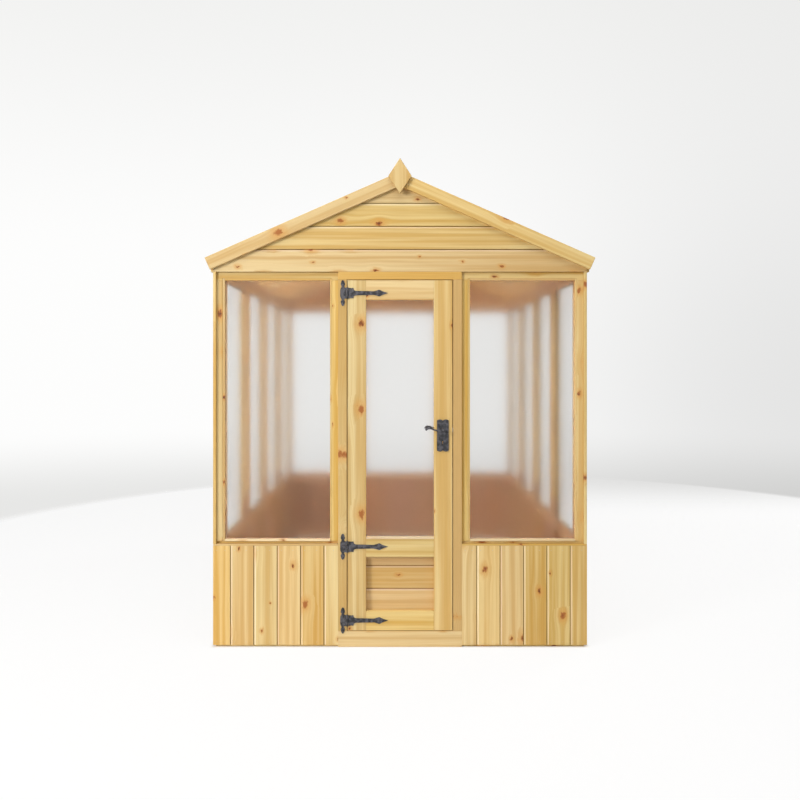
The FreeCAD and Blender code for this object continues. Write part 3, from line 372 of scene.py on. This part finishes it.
def zinc_finish():
    """Zinc plated steel with a brushed, faintly spangled face."""
    material, tree = new_finish("zinc_plated_steel")
    place = tree.add("ShaderNodeTexCoord")["Object"]
    x, y, z = tree.split(place)
    brushed = tree.noise(tree.combine(x * BRUSH_FINE, y * BRUSH_FINE, z * BRUSH_LONG))
    spangle = tree.add("ShaderNodeTexVoronoi", {}, {"Vector": place, "Scale": 160.0})["Color"]
    shade, _, _ = tree.split(spangle)
    colour = tree.mix(shade * 0.5 + brushed * 0.5, ZINC_DULL, ZINC_BRIGHT)
    surface(tree, {"Base Color": colour, "Metallic": 1.0, "Roughness": brushed * 0.16 + 0.26,
                   "Normal": tree.bump(brushed, strength=0.1, distance=0.2 * MM)})
    return material


STYRENE_TINT = (0.902, 0.902, 0.898)
STYRENE_IOR = 1.05
STYRENE_CLEAR = 0.985


def styrene_finish():
    """Lightly frosted glazing sheet that blurs what stands behind it."""
    material, tree = new_finish("frosted_styrene")
    cloud = tree.noise(tree.add("ShaderNodeTexCoord")["Object"], scale=5.0, detail=3.0)
    surface(tree, {"Base Color": STYRENE_TINT, "Roughness": cloud * 0.04 + 0.4, "IOR": STYRENE_IOR,
                   "Transmission Weight": STYRENE_CLEAR})
    return material


pine = pine_finish()
iron = iron_finish()
zinc = zinc_finish()
styrene = styrene_finish()


# dressing: an eased copy of a CAD node, with what its finish reads
def closed_solids(node):
    """The node's triangles, gathered into its separate closed solids."""
    mesh = frame["nodes"][node].data
    solids = []
    triangles = []
    unmatched = {}
    for polygon in mesh.polygons:
        corners = [tuple(round(c, 7) for c in mesh.vertices[index].co) for index in polygon.vertices]
        triangles.append(corners)
        for start, stop in zip(corners, corners[1:] + corners[:1]):
            waiting = unmatched.get((stop, start), 0)
            if waiting > 1:
                unmatched[(stop, start)] = waiting - 1
            elif waiting == 1:
                del unmatched[(stop, start)]
            else:
                unmatched[(start, stop)] = unmatched.get((start, stop), 0) + 1
        if not unmatched:
            solids.append(triangles)
            triangles = []
    if triangles:
        solids.append(triangles)
    return solids


def solid_mesh(triangles):
    """One solid with its flat faces whole again."""
    made = bmesh.new()
    verts = {}
    for corners in triangles:
        for corner in corners:
            if corner not in verts:
                verts[corner] = made.verts.new(corner)
        if len(set(corners)) == 3:
            made.faces.new([verts[corner] for corner in corners])
    bmesh.ops.dissolve_limit(made, angle_limit=math.radians(1), verts=made.verts, edges=made.edges)
    return made


CORNER_ANGLE = 10
ALONGSIDE = 0.3


def grain_axes(made, upright):
    """The length, width and thickness directions of a timber."""
    corners = [edge for edge in made.edges if edge.calc_face_angle(0) > math.radians(CORNER_ANGLE)]
    longest = max(corners, key=lambda edge: edge.calc_length())
    length = (longest.verts[1].co - longest.verts[0].co).normalized()
    if upright:
        length = Vector((0, 0, 1))
    flat = [face for face in made.faces if abs(face.normal.dot(length)) < ALONGSIDE]
    broad = max(flat, key=lambda face: face.calc_area()).normal
    thickness = (broad - length * broad.dot(length)).normalized()
    return length, thickness.cross(length), thickness


def ease_edges(made, width, segments, least_angle):
    sharp = [edge for edge in made.edges
             if len(edge.link_faces) == 2 and edge.calc_face_angle(0) > math.radians(least_angle)]
    bmesh.ops.bevel(made, geom=sharp, offset=width, segments=segments, profile=0.5, affect="EDGES",
                    clamp_overlap=True)


GROOVE_DEEP = 4.0 * MM
BOARD_BACK = 11.4 * MM


def groove_depth(place, outward, face):
    """How deep in a board's joint a point lies: 0 on the face, 1 in the groove, -1 at the board's back."""
    depth = face - outward.dot(place)
    return max(0.0, min(1.0, depth / GROOVE_DEEP)) if depth < BOARD_BACK else -1.0


def finish_piece(name, mesh, nodes, body, finish):
    """A new piece on a body, with its finish; it stands in for the CAD nodes that it is given."""
    mesh.materials.clear()
    mesh.materials.append(finish)
    piece = bpy.data.objects.new(name, mesh)
    bpy.context.scene.collection.objects.link(piece)
    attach(piece, body)
    if nodes:
        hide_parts(*nodes)


def soften(mesh):
    """Smooth shading in which the broad faces stay flat and only the eased edges turn."""
    facings = [Vector() for _ in mesh.vertices]
    for polygon in mesh.polygons:
        polygon.use_smooth = True
        for index in polygon.vertices:
            facings[index] += polygon.normal * polygon.area
    mesh.normals_split_custom_set_from_vertices([facing.normalized() for facing in facings])


EASE_SEGMENTS = 2
TIMBER_EDGE_ANGLE = 12
METAL_EDGE_ANGLE = 35
BEADS = ("glazing_beads", "door_glazing_beads")
DRIP_LEVEL = 0.62
# the low drip beads get a groove grade in the bevel's range, and with it the bevel's painted highlight
DRIP_PAINTED_HIGHLIGHT = 0.3


def dress_timber(node, edge, outward=None, upright=False):
    """A pine piece for a timber node; outward is given for boards, whose grooves then get painted shade and
    whose bevels a painted highlight.
    """
    chance = random.Random(node)
    whole = bmesh.new()
    grain_layer = whole.verts.layers.float_vector.new("grain")
    board_layer = whole.verts.layers.float.new("board")
    groove_layer = whole.verts.layers.float.new("groove")
    for triangles in closed_solids(node):
        made = solid_mesh(triangles)
        length, width, thickness = grain_axes(made, upright)
        ease_edges(made, edge, EASE_SEGMENTS, TIMBER_EDGE_ANGLE)
        middle = sum((vert.co for vert in made.verts), Vector()) / len(made.verts)
        board = chance.random()
        face = max(outward.dot(vert.co) for vert in made.verts) if outward else 0.0
        # painted highlight on the tops of the low drip beads
        drips = node in BEADS and max(vert.co.z for vert in made.verts) < DRIP_LEVEL
        drip_highlight = DRIP_PAINTED_HIGHLIGHT if drips else 0.0
        copies = {}
        for vert in made.verts:
            copy = whole.verts.new(vert.co)
            local = vert.co - middle
            copy[grain_layer] = (length.dot(local), width.dot(local), thickness.dot(local))
            copy[board_layer] = board
            copy[groove_layer] = groove_depth(vert.co, outward, face) if outward else drip_highlight
            copies[vert] = copy
        for polygon in made.faces:
            whole.faces.new([copies[vert] for vert in polygon.verts])
        made.free()
    mesh = bpy.data.meshes.new(f"{node}_pine")
    whole.to_mesh(mesh)
    whole.free()
    soften(mesh)
    finish_piece(f"{node}_pine", mesh, [node], body_of[node], pine)


def dress_iron(node, edge, segments):
    """An eased copy of an iron node."""
    whole = bmesh.new()
    for triangles in closed_solids(node):
        made = solid_mesh(triangles)
        ease_edges(made, edge, segments, METAL_EDGE_ANGLE)
        part = bpy.data.meshes.new("part")
        made.to_mesh(part)
        made.free()
        whole.from_mesh(part)
        bpy.data.meshes.remove(part)
    mesh = bpy.data.meshes.new(f"{node}_dressed")
    whole.to_mesh(mesh)
    whole.free()
    soften(mesh)
    finish_piece(f"{node}_dressed", mesh, [node], body_of[node], iron)


FRONT, BACK = Vector((0, -1, 0)), Vector((0, 1, 0))
LEFT, RIGHT = Vector((-1, 0, 0)), Vector((1, 0, 0))
WALL_BOARDS = {"front_boards": FRONT, "back_boards": BACK, "left_boards": LEFT, "right_boards": RIGHT}
BOARDED = {**WALL_BOARDS, "front_gable_boards": FRONT, "back_gable_boards": BACK,
           "door_panel_boards": FRONT}
THIN_TIMBER = (*BEADS, "glazing_strips", "door_stops", "glazing_caps")
BOARD_EASE = 0.5 * MM
THIN_EASE = 1.2 * MM
TIMBER_EASE = 1.8 * MM
IRON_EASE = 0.7 * MM
LEVER_EASE = 2.6 * MM
LEVER_SEGMENTS = 3

for node, slot in slot_of.items():
    if node in BOARDED:
        dress_timber(node, BOARD_EASE, BOARDED[node])
    elif slot == "pine":
        dress_timber(node, THIN_EASE if node in THIN_TIMBER else TIMBER_EASE, upright=node == "finials")
    elif node == "levers":
        dress_iron(node, LEVER_EASE, LEVER_SEGMENTS)
    elif slot == "black_iron":
        dress_iron(node, IRON_EASE, EASE_SEGMENTS)
    else:
        frame["nodes"][node].material_slots[0].material = styrene if slot == "glazing" else zinc


# fixings; a screw's slot is given in radii of its head
SLOT_LENGTH = 2.4
SLOT_WIDTH = 0.26


def fixing_tree(name, slotted):
    """Heads on points: each point's facing gives the way its head stands."""
    group = bpy.data.node_groups.new(name, "GeometryNodeTree")
    ends = group.interface
    ends.new_socket("Geometry", in_out="INPUT", socket_type="NodeSocketGeometry")
    for title in ("Head Radius", "Head Height"):
        ends.new_socket(title, in_out="INPUT", socket_type="NodeSocketFloat")
    ends.new_socket("Finish", in_out="INPUT", socket_type="NodeSocketMaterial")
    ends.new_socket("Geometry", in_out="OUTPUT", socket_type="NodeSocketGeometry")
    tree = Tree(group)
    given = tree.add("NodeGroupInput")
    radius = given["Head Radius"]
    height = given["Head Height"]
    dome = tree.add("GeometryNodeMeshUVSphere", {}, {"Segments": 14, "Rings": 8, "Radius": 1.0})["Mesh"]
    head = tree.add("GeometryNodeTransform", {},
                    {"Geometry": dome, "Scale": tree.combine(radius, radius, height)})["Geometry"]
    if slotted:
        bar = tree.add("GeometryNodeMeshCube", {},
                       {"Size": tree.combine(radius * SLOT_LENGTH, radius * SLOT_WIDTH, height)})["Mesh"]
        bar = tree.add("GeometryNodeTransform", {},
                       {"Geometry": bar, "Translation": tree.combine(0.0, 0.0, height)})["Geometry"]
        head = tree.add("GeometryNodeMeshBoolean", {"operation": "DIFFERENCE"},
                        {"Mesh 1": head, "Mesh 2": bar})["Mesh"]
    facing = tree.add("GeometryNodeInputNamedAttribute", {"data_type": "FLOAT_VECTOR"},
                      {"Name": "facing"})["Attribute"]
    stand = tree.add("FunctionNodeAlignRotationToVector", {"axis": "Z"}, {"Vector": facing})["Rotation"]
    angle = tree.add("FunctionNodeRandomValue", {"data_type": "FLOAT"},
                     {2: 0.0, 3: math.pi, "Seed": 7})[1]
    spin = tree.add("FunctionNodeAxisAngleToRotation", {},
                    {"Axis": (0.0, 0.0, 1.0), "Angle": angle})["Rotation"]
    turned = tree.add("FunctionNodeRotateRotation", {"rotation_space": "LOCAL"},
                      {"Rotation": stand, "Rotate By": spin})["Rotation"]
    placed = tree.add("GeometryNodeInstanceOnPoints", {},
                      {"Points": given["Geometry"], "Instance": head, "Rotation": turned})["Instances"]
    real = tree.add("GeometryNodeRealizeInstances", {}, {"Geometry": placed})["Geometry"]
    clad = tree.add("GeometryNodeSetMaterial", {},
                    {"Geometry": real, "Material": given["Finish"]})["Geometry"]
    tree.add("NodeGroupOutput", {}, {"Geometry": clad})
    return group


HEAD_SHARP_ANGLE = 50


def drive(name, spots, tree, radius, height, finish, body):
    """Fixings of one kind on one body; each spot is a place and the way its head faces."""
    points = bpy.data.meshes.new(f"{name}_points")
    points.from_pydata([place for place, _ in spots], [], [])
    facing = points.attributes.new("facing", "FLOAT_VECTOR", "POINT")
    facing.data.foreach_set("vector", [part for _, way in spots for part in way])
    maker = bpy.data.objects.new(f"{name}_maker", points)
    bpy.context.scene.collection.objects.link(maker)
    modifier = maker.modifiers.new("fixings", "NODES")
    modifier.node_group = tree
    values = {"Head Radius": radius, "Head Height": height, "Finish": finish}
    for item in tree.interface.items_tree:
        if item.name in values:
            modifier[item.identifier] = values[item.name]
    graph = bpy.context.evaluated_depsgraph_get()
    mesh = bpy.data.meshes.new_from_object(maker.evaluated_get(graph))
    bpy.data.objects.remove(maker)
    mesh.name = name
    for polygon in mesh.polygons:
        polygon.use_smooth = True
    mesh.set_sharp_from_angle(angle=math.radians(HEAD_SHARP_ANGLE))
    finish_piece(name, mesh, [], body, finish)


def extent(triangles):
    low = [min(corner[axis] for corners in triangles for corner in corners) for axis in range(3)]
    high = [max(corner[axis] for corners in triangles for corner in corners) for axis in range(3)]
    return Vector(low), Vector(high)


SCREW_RADIUS = 3.6 * MM
SCREW_HEIGHT = 1.5 * MM
PLATE_SCREW_RADIUS = SCREW_RADIUS * 0.8
NAIL_RADIUS = 1.3 * MM
NAIL_HEIGHT = 0.5 * MM
CAP_RADIUS = 6.4 * MM
CAP_HEIGHT = 2.6 * MM
HINGE_PLATE = 3 * MM
KNUCKLE_RADIUS = 5 * MM
STRAP_SCREWS = ((18, 15), (18, -15), (62, 0), (104, 0), (150, 0))
HEAD_SCREWS_ACROSS = 12.6 * MM
HEAD_SCREW_RISES = (-49, -19, 19, 49)
PLATE_SCREW_ACROSS = 17 * MM
PLATE_SCREW_RISE = 57 * MM
NAILED_WIDTH = 50 * MM
NAIL_ABOVE_FOOT = 14 * MM
NAIL_BELOW_TOP = 22 * MM
NAIL_SHARES = (-0.27, 0.21)

spindle_low, spindle_high = extent(closed_solids("spindle")[0])
hub = (spindle_low + spindle_high) / 2


def hub_caps():
    """A cap over each end of the spindle, on the faces of the two levers."""
    levers = [extent(triangles) for triangles in closed_solids("levers")]
    outer_face = min(low.y for low, _ in levers)
    inner_face = max(high.y for _, high in levers)
    return [((hub.x, outer_face, hub.z), FRONT), ((hub.x, inner_face, hub.z), BACK)]


def strap_screws():
    """Two screws beside the knuckle and three along the tongue of each strap."""
    spots = []
    for triangles in closed_solids("hinge_straps"):
        low, high = extent(triangles)
        level = (low.z + high.z) / 2
        knuckle = low.x + KNUCKLE_RADIUS
        for reach, rise in STRAP_SCREWS:
            spots.append(((knuckle + reach * MM, high.y - HINGE_PLATE, level + rise * MM), FRONT))
    return spots


def head_screws():
    """Four screws in the upright plate of each hinge."""
    spots = []
    for triangles in closed_solids("hinge_heads"):
        low, high = extent(triangles)
        level = (low.z + high.z) / 2
        for rise in HEAD_SCREW_RISES:
            spots.append(((low.x + HEAD_SCREWS_ACROSS, high.y - HINGE_PLATE, level + rise * MM), FRONT))
    return spots


def plate_screws():
    """A screw near each corner of the outer and the inner back plate."""
    spots = []
    for triangles in closed_solids("back_plates"):
        low, high = extent(triangles)
        centre = (low + high) / 2
        outside = centre.y < hub.y
        face = low.y if outside else high.y
        for across in (-PLATE_SCREW_ACROSS, PLATE_SCREW_ACROSS):
            for rise in (-PLATE_SCREW_RISE, PLATE_SCREW_RISE):
                spots.append(((centre.x + across, face, centre.z + rise), FRONT if outside else BACK))
    return spots


def board_nails():
    """Two nails near the foot and two near the top of every upright board, apart from narrow offcuts."""
    spots = []
    for node, outward in WALL_BOARDS.items():
        run = Vector((1, 0, 0)) if outward.x == 0 else Vector((0, 1, 0))
        for triangles in closed_solids(node):
            low, high = extent(triangles)
            size = high - low
            if size.dot(run) < NAILED_WIDTH:
                continue
            face = (low + high) / 2 + outward * abs(size.dot(outward)) / 2
            for height in (low.z + NAIL_ABOVE_FOOT, high.z - NAIL_BELOW_TOP):
                for share in NAIL_SHARES:
                    place = face + run * size.dot(run) * share
                    spots.append(((place.x, place.y, height), outward))
    return spots


screws = fixing_tree("slotted_screws", True)
nails = fixing_tree("board_nails", False)
drive("hub_caps", hub_caps(), nails, CAP_RADIUS, CAP_HEIGHT, iron, "lever")
drive("strap_screws", strap_screws(), screws, SCREW_RADIUS, SCREW_HEIGHT, iron, "door")
drive("head_screws", head_screws(), screws, SCREW_RADIUS, SCREW_HEIGHT, iron, "building")
drive("plate_screws", plate_screws(), screws, PLATE_SCREW_RADIUS, SCREW_HEIGHT, iron, "door")
drive("board_nails", board_nails(), nails, NAIL_RADIUS, NAIL_HEIGHT, zinc, "building")


# stage, light and camera
def seen_directly(tree):
    """1 for rays from the camera and for those mirrored or passed on by metal and glass."""
    rays = tree.add("ShaderNodeLightPath")
    direct = rays["Is Camera Ray"] + rays["Is Glossy Ray"] + rays["Is Transmission Ray"]
    return tree.math("MINIMUM", direct, 1.0)


FLOOR_WHITE = (0.93, 0.93, 0.925)
FLOOR_GLOW = 0.87
FLOOR_CENTRE = (0.6, 0.2)
FLOOR_RADIUS = 4.6
FLOOR_RIM = 0.3
GLOW_WIDTH = (0.89, 0.92)
GLOW_DEPTH = (1.19, 1.22)
HAZE_DEPTH = (2.0, 4.8)
HAZE_RIGHT = (0.0, 1.5)


def lay_floor():
    """A white floor that glows a little outside the walls and fades out at its rim and far right."""
    material, tree = new_finish("white_floor")
    matt = tree.add("ShaderNodeBsdfDiffuse", {}, {"Color": FLOOR_WHITE})["BSDF"]
    glow = tree.add("ShaderNodeEmission", {}, {"Color": (1.0, 1.0, 1.0)})["Emission"]
    x, y, _ = tree.split(tree.add("ShaderNodeTexCoord")["Object"])
    beside = tree.step(tree.math("ABSOLUTE", x), *GLOW_WIDTH)
    before = tree.step(tree.math("ABSOLUTE", y), *GLOW_DEPTH)
    bright = seen_directly(tree) * tree.math("MAXIMUM", beside, before) * FLOOR_GLOW
    white = tree.add("ShaderNodeMixShader", {}, {0: bright, 1: matt, 2: glow})["Shader"]
    from_x = x - FLOOR_CENTRE[0]
    from_y = y - FLOOR_CENTRE[1]
    radius = tree.math("SQRT", from_x * from_x + from_y * from_y)
    rim = tree.step(radius, FLOOR_RADIUS - FLOOR_RIM, FLOOR_RADIUS)
    haze = tree.step(y, *HAZE_DEPTH) * tree.step(x, *HAZE_RIGHT)
    clear = tree.add("ShaderNodeBsdfTransparent")["BSDF"]
    faded = tree.add("ShaderNodeMixShader", {}, {0: tree.math("MAXIMUM", rim, haze), 1: white, 2: clear})
    tree.add("ShaderNodeOutputMaterial", {}, {"Surface": faded["Shader"]})
    made = bmesh.new()
    bmesh.ops.create_circle(made, cap_ends=True, segments=128, radius=FLOOR_RADIUS)
    bmesh.ops.translate(made, verts=made.verts, vec=(*FLOOR_CENTRE, 0))
    mesh = bpy.data.meshes.new("floor")
    made.to_mesh(mesh)
    made.free()
    mesh.materials.append(material)
    floor = bpy.data.objects.new("floor", mesh)
    bpy.context.scene.collection.objects.link(floor)


WORLD_WHITE = (1.0, 0.995, 0.985)
WORLD_LIGHT = 0.28
# painted shade on the backdrop: grey near and below the horizon, greyer towards the top, and darker on the
# right
HORIZON_PAINTED_SHADE = (0.80, 0.80, 0.79)
HORIZON_WHITE = (0.985, 0.985, 0.98)
HORIZON_RISE = (-0.16, -0.075)
SKY_WHITE = (0.875, 0.875, 0.865)
SKY_RISE = (0.1, 0.5)
SHADE_RIGHT = (0.0, 0.5)
SHADE_RISE = (-0.05, 0.45)
SHADE_FADE = 0.7
SHADE_DEPTH = 0.21


def hang_backdrop():
    """Even white light, and for what is seen directly a backdrop with painted shade: it greys a little
    towards the floor and towards the top, and more on the right, mostly low down.
    """
    world = bpy.data.worlds.new("studio")
    world.use_nodes = True
    world.node_tree.nodes.clear()
    tree = Tree(world.node_tree)
    right, _, rise = tree.split(tree.add("ShaderNodeTexCoord")["Generated"])
    seen = tree.mix(tree.step(rise, *HORIZON_RISE), HORIZON_PAINTED_SHADE, HORIZON_WHITE)
    seen = tree.mix(tree.step(rise, *SKY_RISE), seen, SKY_WHITE)
    shade = tree.step(right, *SHADE_RIGHT) * (1 - tree.step(rise, *SHADE_RISE) * SHADE_FADE)
    even = tree.add("ShaderNodeBackground", {},
                    {"Color": WORLD_WHITE, "Strength": WORLD_LIGHT})["Background"]
    backdrop = tree.add("ShaderNodeBackground", {},
                        {"Color": seen, "Strength": 1.0 - shade * SHADE_DEPTH})["Background"]
    both = tree.add("ShaderNodeMixShader", {}, {0: seen_directly(tree), 1: even, 2: backdrop})["Shader"]
    tree.add("ShaderNodeOutputWorld", {}, {"Surface": both})
    bpy.context.scene.world = world


def hang_lamp(name, place, target, size, power, colour):
    data = bpy.data.lights.new(name, "AREA")
    data.shape = "DISK"
    data.size = size
    data.energy = power
    data.color = colour
    lamp = bpy.data.objects.new(name, data)
    lamp.location = place
    lamp.rotation_euler = (Vector(target) - Vector(place)).to_track_quat("-Z", "Y").to_euler()
    bpy.context.scene.collection.objects.link(lamp)


CAMERA_PLACE = (0.0, -4.96, 1.357)
CAMERA_LENS = 35.16
CAMERA_SENSOR = 36.0
CAMERA_SHIFT_Y = -0.04375


def place_camera():
    """Level and square to the front, shifted so that the upright timbers stay parallel."""
    data = bpy.data.cameras.new("camera")
    data.lens = CAMERA_LENS
    data.sensor_width = CAMERA_SENSOR
    data.shift_y = CAMERA_SHIFT_Y
    camera = bpy.data.objects.new("camera", data)
    camera.location = CAMERA_PLACE
    camera.rotation_euler = (math.radians(90), 0, 0)
    bpy.context.scene.collection.objects.link(camera)
    bpy.context.scene.camera = camera


LAMP_WARM = (1.0, 0.98, 0.95)
LAMP_WHITE = (1.0, 0.99, 0.97)

lay_floor()
hang_backdrop()
hang_lamp("key", place=(-4.6, -5.2, 2.9), target=(0, 0, 1.0), size=2.2, power=275, colour=LAMP_WARM)
hang_lamp("top", place=(0.3, -2.6, 5.2), target=(0, -0.6, 0), size=3.5, power=120, colour=LAMP_WHITE)
hang_lamp("back", place=(6.2, 4.6, 3.6), target=(0, 0.4, 1.0), size=3.0, power=210, colour=LAMP_WHITE)
place_camera()
bpy.context.scene.view_settings.view_transform = "Standard"
